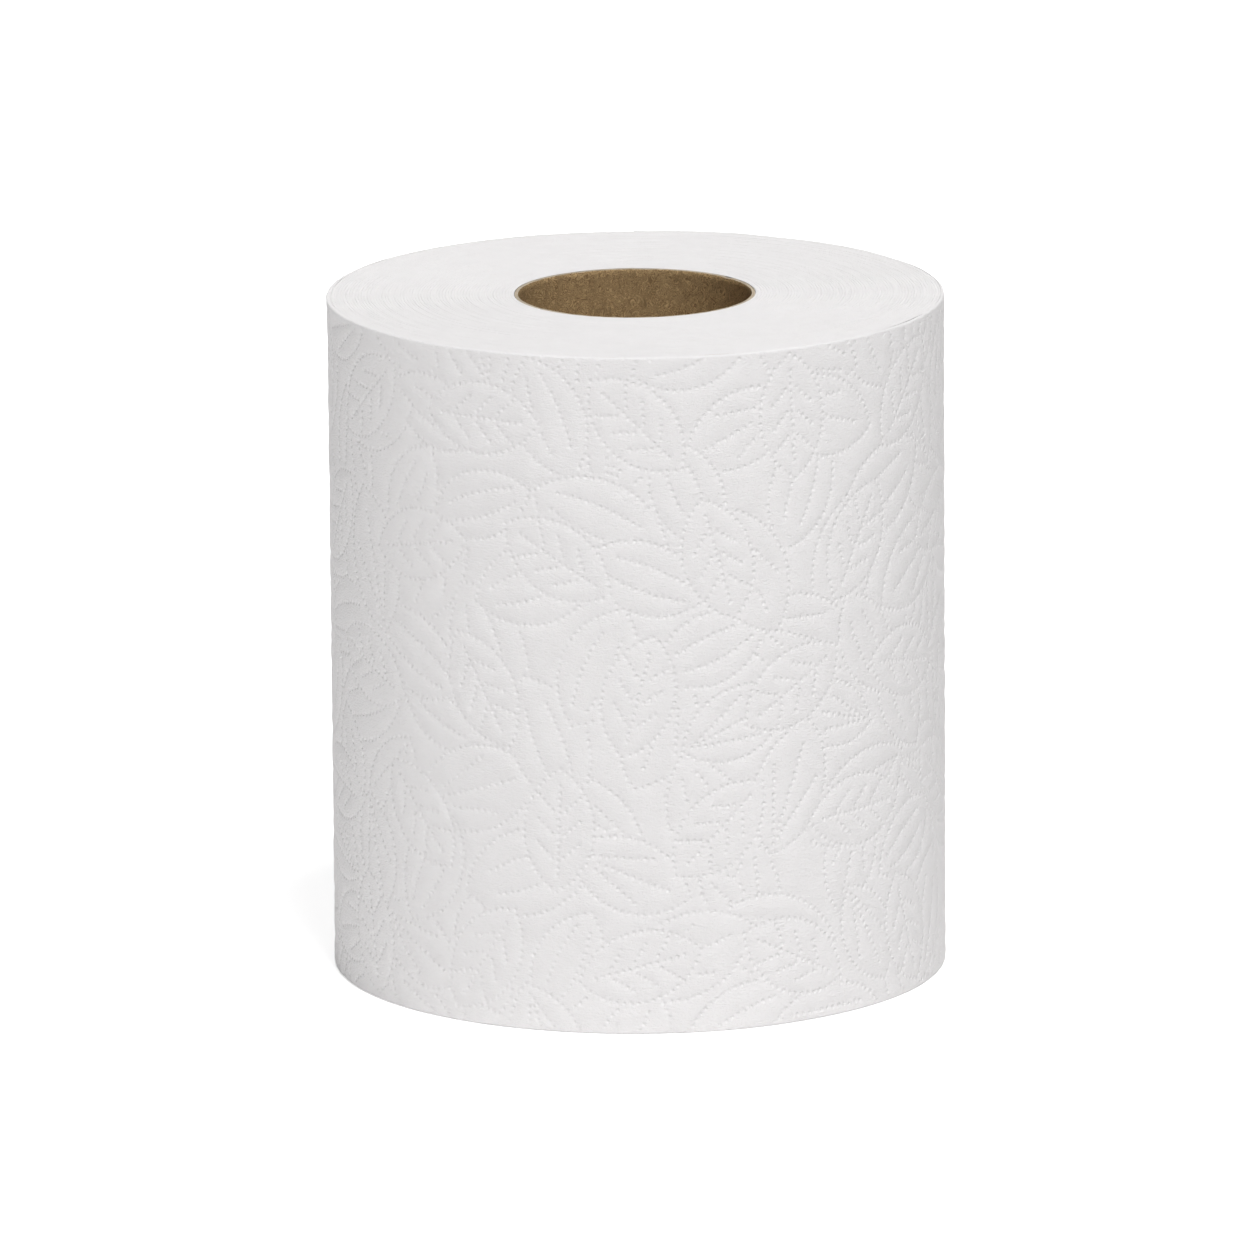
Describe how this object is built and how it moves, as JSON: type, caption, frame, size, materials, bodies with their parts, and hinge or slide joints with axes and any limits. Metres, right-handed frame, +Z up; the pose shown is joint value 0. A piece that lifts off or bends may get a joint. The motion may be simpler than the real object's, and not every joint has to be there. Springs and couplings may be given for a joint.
{
  "type": "toilet paper roll",
  "caption": "Roll of white embossed toilet tissue wound on an open paperboard core, standing on its end; the core slips over a holder's spindle.",
  "frame": {"origin": "on the roll's axis at the plane that it stands on", "axes": "+Z up along the core, -Y towards the viewer, and the tail of the web on the +Y side"},
  "size_m": [0.1028, 0.103, 0.1143],
  "materials": {
    "core_board": "matte",
    "tissue": "matte"
  },
  "bodies": {
    "root": {"core": "core_board", "paper_roll": "tissue"}
  },
  "joints": []
}
